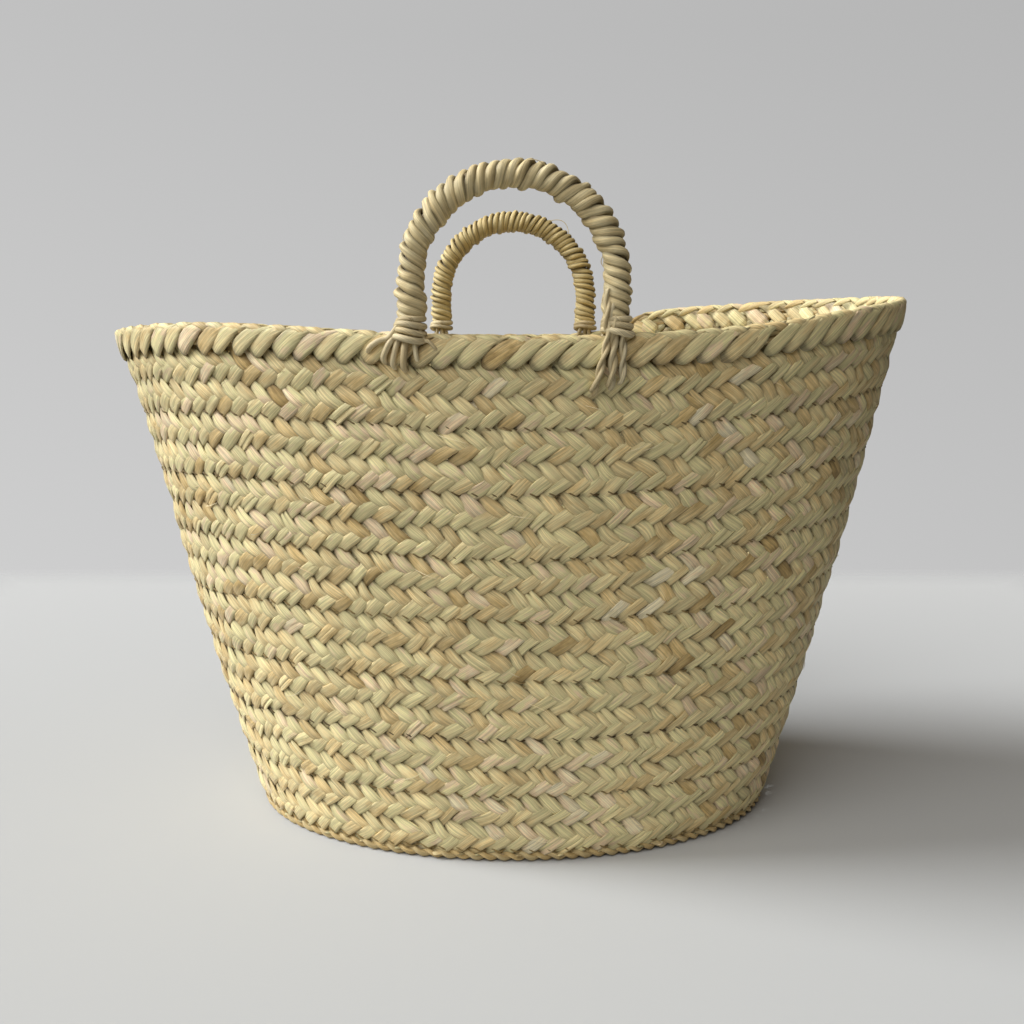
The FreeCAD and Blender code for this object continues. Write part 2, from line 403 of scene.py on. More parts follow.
# %% The plait
STRAND_PITCH = 11.2  # from one strand to the next, measured along the course
STEEPER = 1.17  # the strands that lean down to the right are this much steeper than the others
OVER = 0.78  # how far a strand rises and dips about the middle of the wall
RIB = 1.55  # how far the middle of a row of arrow heads stands out beyond its edges
NECK = 0.24  # how much narrower a strand is where its neighbours pinch it
SPLIT_SHARE = 0.13  # leaves that are split in two
RINGS = 27  # sections along one strand
# A strand's section: half widths across its outer face, then back across its inner face.
TOP_F = np.array([-1.0, -0.82, -0.4, 0.05, 0.5, 0.84])
BOTTOM_F = np.array([1.0, 0.6, -0.1, -0.7])
SECTION_F = np.concatenate([TOP_F, BOTTOM_F])
SECTION_SIDE = np.concatenate([np.full(len(TOP_F), 1.0), np.full(len(BOTTOM_F), -1.0)])


def weave_height(q):
    """Over for two, under for two."""
    wave = np.sin(np.pi * q / 2)
    return np.sign(wave) * np.abs(wave) ** 0.42


def leaf_shades(rng, count):
    """Each leaf's place on the colour scale and its brightness. Most are straw, a few brown or bleached."""
    place = rng.normal(0.47, 0.11, count)
    odd = rng.random(count)
    place = np.where(odd < 0.012, 0.84, np.where(odd > 0.975, 0.16, place))
    return np.stack([np.clip(place, 0, 1), rng.random(count)], -1)


def loose_fibres(rng, number, length, width, lay):
    """Thin hairs that lift off the surface between two hidden ends."""
    m = np.linspace(0, 1, RINGS)[None, :]
    reach = rng.uniform(6, 17, (number, 1))
    slope = rng.choice([-1.0, 1.0], (number, 1)) * rng.uniform(0.3, 1.0, (number, 1))
    s = rng.uniform(0, length, (number, 1)) + reach * m + 1.5 * np.sin(3 * m)
    v = rng.uniform(4, width - 4, (number, 1)) + reach * slope * (m - 0.5) * 0.6
    v = np.clip(v, 1, width - 1)
    arch = rng.uniform(1.2, 2.6, (number, 1)) * np.sin(np.pi * m) + 0.9
    circle = np.linspace(0, 2 * np.pi, len(SECTION_F), endpoint=False)
    hair = 0.16 * np.clip(np.sin(np.pi * m) * 3, 0.1, 1)[..., None]
    S = s[..., None] + 0 * circle
    V = v[..., None] + hair * np.cos(circle)
    shape = lay(S, V, arch[..., None] - hair * np.sin(circle))
    leaves = np.stack([rng.uniform(0.7, 1.0, number), rng.random(number)], -1)
    return shape, S - S[:, :1], 0 * S, 0 * S, leaves


def plait(name, sheet, material, seed, rib=RIB, seam=0.0, seams=(0, 0), fibres=8, wander=1.0, under=1.0):
    """Both families of strands of one course, laid on its sheet. seams are the seeds of its two edges,
    seam is how far those edges are drawn in, and under says how far the strands run on below the lower
    edge, where the next course hides them."""
    place, length, width = sheet
    rng = np.random.default_rng(seed)
    count = round(length / STRAND_PITCH)
    pitch = length / count
    step = width / 8
    down_run = pitch / step / (1 + STEEPER)
    up_run = down_run * STEEPER
    shapes, alongs, acrosses, leaves, recesses = [], [], [], [], []

    def lay(S, V, height):
        """Drift the flat grid a little, then bend it onto the sheet."""
        turns = S / length
        row = np.clip(V / width, 0, 1)
        inner = np.sin(np.pi * row)
        drift = wander * (0.9 * waves(seed + 7, turns) * inner
                          + 0.8 * waves(seed + 8, turns + 0.02 * row, 6, 40) * inner)
        edges = wander * 0.75 * ((1 - row) * waves(seams[0] + 900, turns)
                                 + row * waves(seams[1] + 900, turns))
        sway = 0.45 * wander * inner * waves(seed + 10, turns, 6, 40)
        sink = 0.35 * wander * waves(seed + 9, turns, 6, 30) * inner
        return place(S + drift, V + edges + sway, height + sink)

    for family, run in ((1, down_run), (-1, up_run)):
        first, last = (-1.0, 8 + 0.3 * under) if family > 0 else (-0.2, 8 + under)
        strand = np.arange(count)
        split = rng.random(count) < SPLIT_SHARE
        which = np.concatenate([strand, strand[split]])
        second = np.concatenate([np.zeros(count, bool), np.ones(split.sum(), bool)])
        halved = np.concatenate([split, np.ones(split.sum(), bool)])
        offset = np.where(second, 0.46, np.where(halved, -0.44, 0.0))
        share = np.where(halved, 0.56, 1.0)
        raised = np.where(second, rng.uniform(0.1, 0.5, len(which)), 0.0)
        n = len(which)
        m = np.linspace(first, last, RINGS)[None, :] + rng.normal(0, 0.05, (n, 1))
        v = m * step
        jitter = rng.normal(0, 0.42, count)[which][:, None]
        curl = rng.uniform(0.15, 0.6, (n, 1)) * np.sin(m * rng.uniform(0.5, 1.3, (n, 1))
                                                       + rng.uniform(0, 6.3, (n, 1)))
        start = which[:, None] * pitch + (0.0 if family > 0 else 0.5 * pitch)
        s = start + family * run * v + jitter + curl
        norm = math.hypot(run, 1.0)
        side = np.array([1.0, -family * run]) / norm
        ends = np.minimum((m - first) / 0.5, (last - m) / 0.45)
        taper = np.clip(0.35 + 0.65 * ends, 0.3, 1.0)
        swell = 1 + 0.07 * np.sin(m * rng.uniform(0.8, 2.2, (n, 1)) + rng.uniform(0, 6.3, (n, 1)))
        half = 0.5 * pitch / norm * rng.uniform(1.03, 1.19, (n, 1)) * share[:, None] * swell
        half = half * np.clip(taper + 0.15, 0, 1)
        crossing = m + (0.0 if family > 0 else -0.5 * pitch / step / (down_run + up_run))
        neck = np.exp(-((crossing % 4 + 2) % 4 - 2) ** 2 / 0.20)
        half = half * (1 - NECK * neck)
        u = half[..., None] * SECTION_F + (offset[:, None] * 0.5 * pitch / norm)[..., None]
        S = s[..., None] + side[0] * u
        V = v[..., None] + side[1] * u
        if family > 0:
            q = (S + up_run * V) / pitch - which[:, None, None]
            height = OVER * weave_height(np.minimum(q, 7.0))
        else:
            q = which[:, None, None] - (S - down_run * V) / pitch + 0.5
            height = -OVER * weave_height(np.maximum(q, 1.0))
        height = height * rng.uniform(0.85, 1.2, (n, 1, 1)) + raised[:, None, None]
        row = V / step
        height = height + rib * (0.5 - 0.5 * np.cos(np.pi * row / 2)) - 0.55 * rib
        height = height - seam * (np.exp(-(row / 0.45) ** 2) + np.exp(-((row - 8) / 0.45) ** 2))
        thick = rng.uniform(0.8, 1.2, (n, 1, 1)) * taper[..., None]
        crown = 1 - np.abs(SECTION_F) ** 4.5
        tilt = rng.normal(0.24, 0.20, (n, 1, 1)) * SECTION_F
        lift = np.where(SECTION_SIDE > 0, 0.2 + 0.45 * crown, -0.2 - 0.4 * crown) * thick + tilt
        shapes.append(lay(S, V, height + lift))
        # Painted shade: darker where the strand dips below the middle of the wall and along its edges, most
        # where its neighbours pinch it.
        edge_shade = (0.26 + 0.74 * neck[..., None]) * (np.abs(SECTION_F) > 0.8)
        recesses.append(np.clip((0.1 - height) / 1.9, 0, 1) + edge_shade)
        alongs.append(np.broadcast_to((v * norm)[..., None], S.shape))
        acrosses.append(u + 0 * S)
        shades = leaf_shades(rng, count)[which]
        shades[:, 0] = np.clip(shades[:, 0] + rng.normal(0, 0.05, n), 0, 1)
        leaves.append(shades)
    hairs = loose_fibres(rng, fibres, length, width, lay)
    for gathered, more in zip((shapes, alongs, acrosses, recesses, leaves), hairs):
        gathered.append(more)
    return make_strands(name, np.concatenate(shapes), np.concatenate(alongs), np.concatenate(acrosses),
                        np.concatenate(leaves), material, np.clip(np.concatenate(recesses), 0, 1))


# %% [markdown]
# ## The wall's courses
#
# On such a basket one long plait is sewn to itself edge to edge, and each turn of it is a course. Here
# every course is a closed ring that follows its CAD node. Two courses share the wander of the seam
# between them, so the seam stays shut however it moves. The lowest course stops short, so that no
# strand of it reaches below the welt that the basket stands on.

# %% Wall courses
FIRST_UNDER = 0.55  # how far the lowest course's strands run on below its edge, against 1 higher up
FOOT_LEVEL = WELT / RIM_HEIGHT
TOP_LEVEL = 1 - RIM_FOLD_HEIGHT / RIM_HEIGHT
COURSE_LEVEL = (TOP_LEVEL - FOOT_LEVEL) / COURSES


def belongs(piece, body, finish, *nodes):
    """A finished piece: the body it moves with, its finish, which is not used, and the plain nodes that it
    stands for.
    """
    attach(piece, body)
    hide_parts(*nodes)


for i in range(COURSES):
    low = FOOT_LEVEL + i * COURSE_LEVEL
    course = plait("plaited_course_%d" % (i + 1), wall_sheet(low, low + COURSE_LEVEL), leaf_plait, 40 + i,
                   seams=(i + 1, i), under=1.0 if i else FIRST_UNDER)
    belongs(course, "basket", "palm_leaf_plait", "wall_course_%d" % (i + 1))

# %% [markdown]
# ## The floor of the basket
#
# The same plait, laid flat: a short strip folded on itself in the middle and two coils round it.
# The underside is seen when the basket is lifted, and the upper side when you look in.

# %% Base coils
SEAM_GAP = 1.6
COIL_WIDTH = 38.0
BASE_MIDDLE = 3.7  # high enough that no strand of the underside digs into the table
edge = WELT
for number, part in enumerate(("outer", "middle")):
    sheet = base_sheet(edge, edge + COIL_WIDTH + SEAM_GAP, BASE_MIDDLE)
    coil = plait("base_coil_%s_plaited" % part, sheet, leaf_plait, 60 + number,
                 rib=0.7, seam=0.4, seams=(20 + number, 21 + number), fibres=0, wander=0.5)
    belongs(coil, "basket", "palm_leaf_plait", "base_coil_" + part)
    edge += COIL_WIDTH + SEAM_GAP
middle_half = box_mm("base_start_plait")[1]
start_inset = BASE_HALF[1] - middle_half[1]
sheet = base_sheet(start_inset, start_inset + middle_half[1] - 1.0, BASE_MIDDLE)
start = plait("base_start_plaited", sheet, leaf_plait, 70,
              rib=0.5, seam=0.3, seams=(22, 23), fibres=0, wander=0.3)
belongs(start, "basket", "palm_leaf_plait", "base_start_plait")

# %% [markdown]
# ## Cords and ropes
#
# A rope is some plies wound round each other. Each ply is drawn as a tube whose middle spirals about
# the rope's own middle line. The same few lines make the welt round the foot, the lacing hidden in the
# seams, the rope inside each handle and the thin twine that ties the handles on.

# %% Plies round a line
def frames(line, reference):
    """For each point of a line: the direction along it and two directions square to it."""
    along = unit(np.gradient(line, axis=0))
    first = unit(np.cross(along, reference))
    return along, first, np.cross(along, first)


def plies(line, reference, number, spread, radius, twist, seed, section=10, closed=False, wobble=0.0):
    """The tubes of a rope along a line. Returns points, lengths along and lengths across."""
    rng = np.random.default_rng(seed)
    line = np.asarray(line, float)
    length = arc_table(line)
    _, first, second = frames(line, reference)
    if closed:
        first[0] = first[-1] = unit(first[0] + first[-1])
        second[0] = second[-1] = unit(second[0] + second[-1])
    turns = length / twist
    if closed:
        turns = turns * max(1, round(turns[-1])) / turns[-1]
    circle = np.linspace(0, 2 * np.pi, section, endpoint=False)
    points = []
    for k in range(number):
        angle = 2 * np.pi * (turns + k / number) + wobble * waves(seed + k, length / length[-1], 5, 30)
        middle = line + spread * (np.cos(angle)[:, None] * first + np.sin(angle)[:, None] * second)
        size = np.broadcast_to(radius * (1 + 0.06 * rng.normal()), length.shape)[:, None, None]
        ring = (np.cos(circle)[None, :, None] * first[:, None]
                + np.sin(circle)[None, :, None] * second[:, None])
        points.append(middle[:, None] + size * ring)
    points = np.stack(points)
    along = np.broadcast_to(length[None, :, None], points.shape[:3])
    across = np.broadcast_to(circle * radius, points.shape[:3])
    return points, along, across


def shades(rng, count, middle=0.5, spread=0.2):
    """Places on the colour scale about a middle one, each with a brightness."""
    return np.stack([np.clip(rng.normal(middle, spread, count), 0, 1), rng.random(count)], -1)


# %% [markdown]
# ## The welt and the lacing
#
# The basket stands on a welt: two strands of leaf twisted round its foot, which take the wear. The
# courses are laced with a thin cord that lies sunk in every seam, so only short dark stitches of it
# would show. Both are ropes along a closed oval, so the turns are stretched until they meet.

# %% Welt and lacing
WELT_INSET = 3.5  # the middle of the twist, inside the foot's outline
WELT_MIDDLE = 3.6  # and its height
turn = np.linspace(0, 2 * np.pi, 1201)
welt_line = base_oval(turn, WELT_INSET, WELT_MIDDLE)
points, along, across = plies(welt_line, (0, 0, 1), 2, 1.5, 1.85, 17.0, 80, closed=True)
welt = make_strands("twisted_welt", points, along, across, shades(np.random.default_rng(80), 2), leaf_welt)
belongs(welt, "basket", "leaf_welt", "base_welt")


def lace(name, line, reference, node, seed):
    """A thin cord that stitches two edges: a spiral whose turns show as short slanted stitches."""
    points, along, across = plies(line, reference, 1, 1.0, 0.55, 11.2, seed, section=6, closed=True)
    cord = make_strands(name, points, along, across, shades(np.random.default_rng(seed), 1), lacing)
    belongs(cord, "basket", "esparto_lacing", node)


for i in range(COURSES):
    level = FOOT_LEVEL + i * COURSE_LEVEL + SEAM_GAP / 2 / RIM_HEIGHT
    line = wall_point(turn, level, WALL / 2 + 0.3)
    lace("seam_lacing_%d" % (i + 1), line, (0, 0, 1), "wall_seam_cord_%d" % (i + 1), 90 + i)
edge = WELT + SEAM_GAP / 2
for number, part in enumerate(("outer", "middle", "inner")):
    line = base_oval(turn, edge, BASE_MIDDLE)
    lace("base_lacing_" + part, line, (0, 0, 1), "base_seam_cord_" + part, 100 + number)
    edge += COIL_WIDTH + SEAM_GAP

# %% [markdown]
# ## The rim
#
# The mouth is finished by folding the leaf ends over the top edge. The fold is a sheet like the others:
# up the outside, over a small round and down the inside, so strands can be laid right over the edge.

# %% The rim's sheet
RIM_STRAIGHT = RIM_FOLD_HEIGHT - RIM_RADIUS
RIM_ROUND = math.pi * RIM_RADIUS
rim_around = arc_table(wall_point(np.linspace(0, 2 * np.pi, 721), 1.0, WALL / 2))
RIM_LENGTH = rim_around[-1]


def rim_place(s, t, h):
    """t runs up the outside of the fold from its lower edge, over the top and down the inside."""
    azimuth = np.interp(s % RIM_LENGTH, rim_around, np.linspace(0, 2 * np.pi, 721))
    angle = np.clip((t - RIM_STRAIGHT) / RIM_ROUND, 0, 1) * np.pi
    lower = np.maximum(RIM_STRAIGHT - t, 0) + np.maximum(t - RIM_STRAIGHT - RIM_ROUND, 0)
    inset = WALL / 2 - (RIM_RADIUS + h) * np.cos(angle)
    lift = -RIM_RADIUS - 1.0 - lower + (RIM_RADIUS + h) * np.sin(angle)
    return wall_point(azimuth, 1 + lift / RIM_HEIGHT, inset)


# %% [markdown]
# ## The bundle inside the rim
#
# Some level strands of leaf lie inside the fold and fill it. They are browner than the ends that cover
# them, carry painted shade as well, and show only in the gaps, so plain tubes are enough.

# %% Rim bundle
RIM_END = 2 * RIM_STRAIGHT + RIM_ROUND
BUNDLE = 9
rng = np.random.default_rng(7)
s = np.linspace(0, RIM_LENGTH, 640)
starts = np.linspace(6.5, RIM_END - 6.5, BUNDLE)
circle = np.linspace(0, 2 * np.pi, 8, endpoint=False)
t = starts[:, None] + 0.8 * np.stack([waves(200 + k, s / RIM_LENGTH) for k in range(BUNDLE)])
h = -1.5 + 0.4 * np.stack([waves(230 + k, s / RIM_LENGTH, 5, 60) for k in range(BUNDLE)])
T = t[..., None] + 1.9 * np.cos(circle)
H = h[..., None] - 0.7 * np.sin(circle)
S = np.broadcast_to(s[None, :, None], T.shape)
# The bundle carries an even painted shade, so it reads as the dark inside of the fold.
bundle = make_strands("rim_bundle", rim_place(S, T, H), S, T - t[..., None], shades(rng, BUNDLE, 0.3),
                      leaf_rim, np.full(T.shape, 0.55))
print("rim length", RIM_LENGTH)
belongs(bundle, "basket", "palm_leaf_plait", "rim_fold")

# %% [markdown]
# ## The folded leaf ends
#
# Outside, each leaf end shows as a fat lobe that leans to the right. Its thin tail runs on over the top
# edge. The other ends cross these tails and come down inside as a row of rounded lobes. Slope, width and
# height are short curves along each end, because one leaf is broad outside, narrow on top and hidden
# inside. A repeated copy of one lobe would look cast, so every end has its own small differences.

# %% Rim lobes and the ends tucked in again
LOBE_PITCH = 13.8  # from one leaf end to the next along the rim
LOBE_RINGS = 41
lobes = round(RIM_LENGTH / LOBE_PITCH)
pitch = RIM_LENGTH / lobes


def rim_row(first, last, slope_t, slope, wide_t, wide, high_t, high, blunt, seed):
    """A row of leaf ends on the rim's sheet. Slope, width and height above it are given along t."""
    rng = np.random.default_rng(seed)
    t = np.linspace(first, last, LOBE_RINGS)[None, :] + rng.normal(0, 0.45, (lobes, 1))
    fine = np.linspace(-6, 44, 501)
    fine_slope = np.interp(fine, slope_t, slope)
    travel = np.cumsum(fine_slope) * (fine[1] - fine[0])
    vary = rng.normal(1.0, 0.06, (lobes, 1))
    lean = np.interp(t, fine, fine_slope) * vary
    s = np.arange(lobes)[:, None] * pitch + rng.normal(0, 1.1, (lobes, 1)) + np.interp(t, fine, travel) * vary
    norm = np.hypot(1, lean)
    share = np.clip((t - t[:, :1]) / blunt, 0, 1)
    round_end = np.sqrt(np.clip(1 - (1 - share) ** 2, 0.02, 1))
    point_end = np.clip((t[:, -1:] - t) / 4.0, 0.12, 1) ** 0.6
    half = 0.5 * pitch / norm * np.interp(t, wide_t, wide) * rng.uniform(0.92, 1.12, (lobes, 1))
    half = half * round_end * point_end
    u = half[..., None] * SECTION_F
    crown = 1 - np.abs(SECTION_F) ** 3.0
    tilt = rng.normal(0.40, 0.16, (lobes, 1, 1)) * SECTION_F
    H = np.interp(t, high_t, high)[..., None] * rng.uniform(0.9, 1.1, (lobes, 1, 1)) + tilt
    faces = np.where(SECTION_SIDE > 0, 0.2 + 0.6 * crown, -0.4 - 0.4 * crown)
    H = H + faces * (0.3 + 0.7 * round_end * point_end)[..., None]
    S = s[..., None] + u * (1 / norm)[..., None]
    T = t[..., None] - u * (lean / norm)[..., None]
    # Painted shade: darker where a leaf end comes out from under the fold, along its edges and where it lies
    # low.
    recess = 0.7 * (1 - share)[..., None] + 0.42 * (np.abs(SECTION_F) > 0.8)
    recess = recess + np.clip(-0.85 * np.interp(t, high_t, high), 0, 0.85)[..., None]
    along = np.broadcast_to((t * norm)[..., None], S.shape)
    return rim_place(S, T, H), along, u, leaf_shades(rng, lobes), np.clip(recess, 0, 1)


# Outside the lobes lean right at about 38 degrees; over the top they run nearly level and dive inside.
over = rim_row(-1.6, 23.5, (-4, 8, 11, 14, 17, 21, 26), (1.15, 1.3, 1.6, 2.6, 2.9, 2.2, 1.4), (0, 11, 16, 25),
               (1.22, 1.20, 0.90, 0.9), (-1.6, 0.5, 4, 9, 12.5, 15, 17, 19.5, 21.5, 23.5),
               (-1.6, 0.1, 0.75, 0.72, 0.1, -0.5, -0.1, 0.5, 0.3, -1.2), 4.4, 8)
# The other ends cross them: thin on the top edge, and a row of rounded lobes inside.
back = rim_row(10.0, RIM_END + 1.5, (9, 13, 17, 22, 36), (-1.3, -2.2, -2.4, -1.5, -1.1), (9, 16, 22, 34),
               (1.0, 1.02, 0.95, 1.06), (10, 12.5, 14.5, 17, 19, 22, 24.5, 27, 31, 35),
               (-1.4, -0.2, 0.45, 0.25, -0.6, -1.1, 0.3, 0.7, 0.5, -1.5), 3.0, 9)
places, alongs, acrosses, tones, recesses = [np.concatenate(pair) for pair in zip(over, back)]
lobe_piece = make_strands("rim_lobes", places, alongs, acrosses, tones, leaf_rim, recesses)
belongs(lobe_piece, "basket", "palm_leaf_plait", "rim_fold")

# %% [markdown]
# ## The handles
#
# Each handle is a three-ply rope bent to an arch and wound closely with split leaf. Three strands are
# wound side by side, so every turn leans. The front handle is wound with pale leaf in wide turns, the
# rear one with narrower golden leaf.

# %% The arch
ARCH = 57.0  # radius of the arch, to the middle of the rope
LEG = 18.0  # straight part below the arch
ROPE = 7.6  # radius over the wrap
WRAP_WANDER = 260.0  # the length over which the wrap's unevenness repeats
DEPTHWISE = np.array([0.0, 1.0, 0.0])
ARC = math.pi * ARCH
PATH = 2 * LEG + ARC


def arch_frame(distance):
    """A point of the arch and the direction out of it, for a distance along it from the left foot's hinge."""
    angle = np.clip((distance - LEG) / ARC, 0, 1) * np.pi
    below = np.where(distance < LEG, LEG - distance, np.maximum(distance - LEG - ARC, 0))
    outward = np.stack([-np.cos(angle), 0 * angle, np.sin(angle)], -1)
    return outward * ARCH + np.stack([0 * angle, 0 * angle, LEG - below], -1), outward


def wrap_radius(distance):
    """The wrap's radius: round feet at both ends."""
    over = np.maximum(-distance, distance - PATH)
    return np.sqrt(np.clip(ROPE**2 - np.clip(over, 0, ROPE) ** 2, 0.2, None))


def wound(name, hinge, turn_width, bulge, material, seed, body, finish, node, fibre_loops):
    """Three strands wound round the arch side by side, with a few loose fibres."""
    rng = np.random.default_rng(seed)
    lead = 3 * turn_width
    rings = round((PATH + 2 * ROPE) / lead * 22)
    distance = np.linspace(-ROPE * 0.93, PATH + ROPE * 0.93, rings)
    shapes, alongs, acrosses, recesses = [], [], [], []
    share = distance / WRAP_WANDER
    pace = 0.16 * waves(seed + 1, share, 6, 20)
    for k in range(3):
        angle = 2 * np.pi * (distance / lead + k / 3) + pace
        uneven = 1.06 + 0.07 * waves(seed + 2 + k, share, 6, 30)
        width = 0.5 * turn_width * (uneven - 0.31 * np.cos(angle - 0.5))
        u = width[:, None] * SECTION_F
        d = distance[:, None] + 0.94 * u
        phi = angle[:, None] - 0.34 * u / ROPE
        middle, outward = arch_frame(d)
        swell = 1 + 0.22 * waves(seed + 5 + k, share, 6, 34)[:, None]
        crown = 1 - np.abs(SECTION_F) ** 2.6
        tilt = (0.25 + 0.2 * waves(seed + 8 + k, share, 6, 40))[:, None] * SECTION_F
        rise = bulge * crown * swell + 0.25 * waves(seed + 11 + k, share, 20, 70)[:, None]
        lift = np.where(SECTION_SIDE > 0, 0.55 - bulge + rise, 0.15 - bulge - 0.3 * crown) + tilt
        reach = wrap_radius(d) + lift
        out = np.cos(phi)[..., None] * outward + np.sin(phi)[..., None] * DEPTHWISE
        shapes.append(middle + np.maximum(reach, 0.3)[..., None] * out)
        alongs.append(np.broadcast_to((distance * 48 / lead)[:, None], u.shape))
        acrosses.append(u)
        # Painted shade along both edges of every turn of the wrap.
        recesses.append(0.9 * (np.abs(SECTION_F) > 0.8) + 0 * u)
    m = np.linspace(0, 1, rings)
    circle = np.linspace(0, 2 * np.pi, len(SECTION_F), endpoint=False)
    blank = np.zeros((rings, len(SECTION_F)))
    for centre, reach, height, twist in fibre_loops:
        middle, outward = arch_frame(centre + reach * (m - 0.5))
        out = np.cos(twist) * outward + math.sin(twist) * DEPTHWISE
        line = middle + out * (ROPE - 0.6 + height * np.sin(np.pi * m))[:, None]
        _, first, second = frames(line, (0.05, 1.0, 0.1))
        ring = np.cos(circle)[:, None] * first[:, None] + np.sin(circle)[:, None] * second[:, None]
        shapes.append(line[:, None] + 0.22 * ring)
        alongs.append(np.broadcast_to((m * reach)[:, None], blank.shape))
        acrosses.append(blank)
        recesses.append(blank)
    tone = shades(rng, len(shapes), 0.55, 0.06)
    tone[:3, 1] = (0.45, 0.7, 0.55)
    piece = make_strands(name, np.stack(shapes) + hinge, np.stack(alongs), np.stack(acrosses),
                         tone, material, np.stack(recesses))
    belongs(piece, body, finish, node)


# Loose fibres of each wrap: where along the arch, how long, how high and how far round the rope.
FRONT_FIBRES = ((40, 9, 1.6, 0.3), (118, 12, 2.2, -0.7), (186, 8, 2.0, 2.6))
REAR_FIBRES = ((142, 17, 5.5, 0.15), (60, 8, 1.5, 2.8))
for side, width, bulge, material, finish, seed, loops in (
        ("front", 5.8, 2.3, leaf_pale, "pale_leaf_wrap", 300, FRONT_FIBRES),
        ("rear", 4.2, 1.7, leaf_golden, "golden_leaf_wrap", 340, REAR_FIBRES)):
    body = side + "_handle"
    low, high = box_mm(side + "_handle_wrap")
    hinge = np.array([0.0, (low[1] + high[1]) / 2, low[2] + ROPE])
    wound(side + "_handle_wound", hinge, width, bulge, material, seed, body, finish,
          side + "_handle_wrap", loops)
    line, _ = arch_frame(np.linspace(0.5, PATH - 0.5, 200))
    points, along, across = plies(line + hinge, (0, 1, 0), 3, 2.7, 2.9, 34.0, seed + 20)
    tone = shades(np.random.default_rng(seed), 3)
    core = make_strands(side + "_handle_rope", points, along, across, tone, rope_core)
    belongs(core, body, "rope_core", side + "_handle_core")

# %% [markdown]
# ## Tying the handles on
#
# Thin twine comes out of the foot of each handle, fans out over the rim and goes into the plait,
# outside and inside. At the front right foot it is two plies, elsewhere one. Each cord runs from the
# handle's foot into the basket. The cords' places are listed one by one, because on a real basket no two
# feet are tied alike.

# %% Lashing cords
def smooth_line(corners, count=60):
    """A smooth line through a few corners."""
    corners = np.asarray(corners, float)
    ends = np.concatenate([[2 * corners[0] - corners[1]], corners, [2 * corners[-1] - corners[-2]]])
    x = np.linspace(0, len(corners) - 1 - 1e-6, count)
    k = x.astype(int)
    f = (x - k)[:, None]
    a, b, c, d = (ends[k + j] for j in range(4))
    return 0.5 * (2 * b + (c - a) * f + (2 * a - 5 * b + 4 * c - d) * f**2 + (3 * b - a - 3 * c + d) * f**3)


def tie(side, hand, sign, cords, seed, collar=0):
    """The cords of one foot, and a collar of leaf turns round it, the lowest of which reach the rim."""
    rng = np.random.default_rng(seed)
    low, high = box_mm(side + "_handle_wrap")
    hinge = low[2] + ROPE
    depth = (low[1] + high[1]) / 2
    outward = -1.0 if depth < 0 else 1.0
    points, alongs, acrosses = [], [], []

    def over_rim(across, below, proud, face):
        """A point outside (face 1) or inside (face -1) the rim, below its top edge."""
        turn = math.copysign(math.acos((sign * ARCH + across) / (TOP_HALF[0] - WALL / 2)), depth)
        inset = WALL / 2 - face * (RIM_RADIUS + proud)
        return wall_point(np.array(turn), 1 - below / RIM_HEIGHT, inset)

    def add_cord(line, number, thickness, twist):
        """One cord of so many plies along a line."""
        spread = 0.8 * thickness * (number > 1)
        tubes = plies(line, (1, 0.15, 0.05), number, spread, thickness, twist, seed + len(points), 9)
        for gathered, more in zip((points, alongs, acrosses), tubes):
            gathered.append(more)

    for number, thickness, begin, climb, bend, end, drop in cords:
        tall = climb > 2
        foot = sign * ARCH + begin * (1.0 if tall else 0.5)
        knee = sign * ARCH + (1.0 if tall else 0.6) * (0.6 * begin + 0.4 * bend)
        for face in (1.0, -1.0):
            drop_here = drop if face > 0 else 0.8 * drop
            corners = [
                (foot, depth + outward * face * (5.2 if tall else 2.5), hinge + climb),
                (knee, depth + outward * face * (7.4 if tall else 5.6), hinge - 4.5),
                over_rim(bend, 3.0, 0.5 + thickness, face),
                over_rim((bend + end) / 2, 0.55 * drop_here, 1.4 + thickness, face),
                over_rim(end, drop_here, 0.3 + thickness, face),
                over_rim(end + 0.1 * (end - bend), drop_here + 3.5, -3.2, face),
            ]
            add_cord(smooth_line(corners), number, thickness, 23.0 * rng.uniform(0.85, 1.15))
    angle = np.linspace(0, 2 * np.pi, 60)
    for k in range(collar):
        height = hinge - 4.0 - 3.2 * k + 1.2 * np.cos(angle + 0.8 + k) + 0.5 * np.sin(2 * angle)
        wide = 7.0 + 0.45 * k
        ring = np.stack([sign * ARCH + 0.3 * k * sign + wide * np.cos(angle),
                         depth + outward * 0.4 + (wide + 0.2) * np.sin(angle), height], -1)
        add_cord(ring, 1, 1.9, 23.0)
    tones = shades(rng, sum(len(p) for p in points), 0.55, 0.12)
    piece = make_strands("%s_%s_twine" % (side, hand), np.concatenate(points), np.concatenate(alongs),
                         np.concatenate(acrosses), tones, twine)
    node = "%s_%s_lashing" % (side, hand)
    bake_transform(piece)
    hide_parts(node)


# Columns: plies and their radius, where the cord starts across the foot and above the hinge, where it
# crosses the rim, where it ends and how far down (mm).
FRONT_LEFT_CORDS = ((1, 1.7, -6.5, -2, -11.0, -23.0, 10), (1, 1.8, -5.0, -3, -8.5, -15.0, 14),
                    (1, 1.6, -2.5, -3, -5.5, -10.0, 17), (1, 1.8, 0.0, -4, -1.5, -4.0, 18),
                    (1, 1.5, 2.0, -4, 3.0, 3.5, 13), (1, 1.1, 4.0, -4, 8.0, 14.0, 8))
FRONT_RIGHT_CORDS = ((2, 1.4, -5.5, 13, -6.0, -11.5, 29), (2, 1.45, -2.0, 6, -2.5, -2.5, 26),
                     (2, 1.35, 2.5, -3, 2.5, 3.5, 24))
REAR_CORDS = ((1, 1.4, -3.5, -3, -5.0, -6.0, 16), (1, 1.4, 0.0, -3, 0.0, 0.0, 18),
              (1, 1.4, 3.5, -3, 4.0, 5.5, 15))
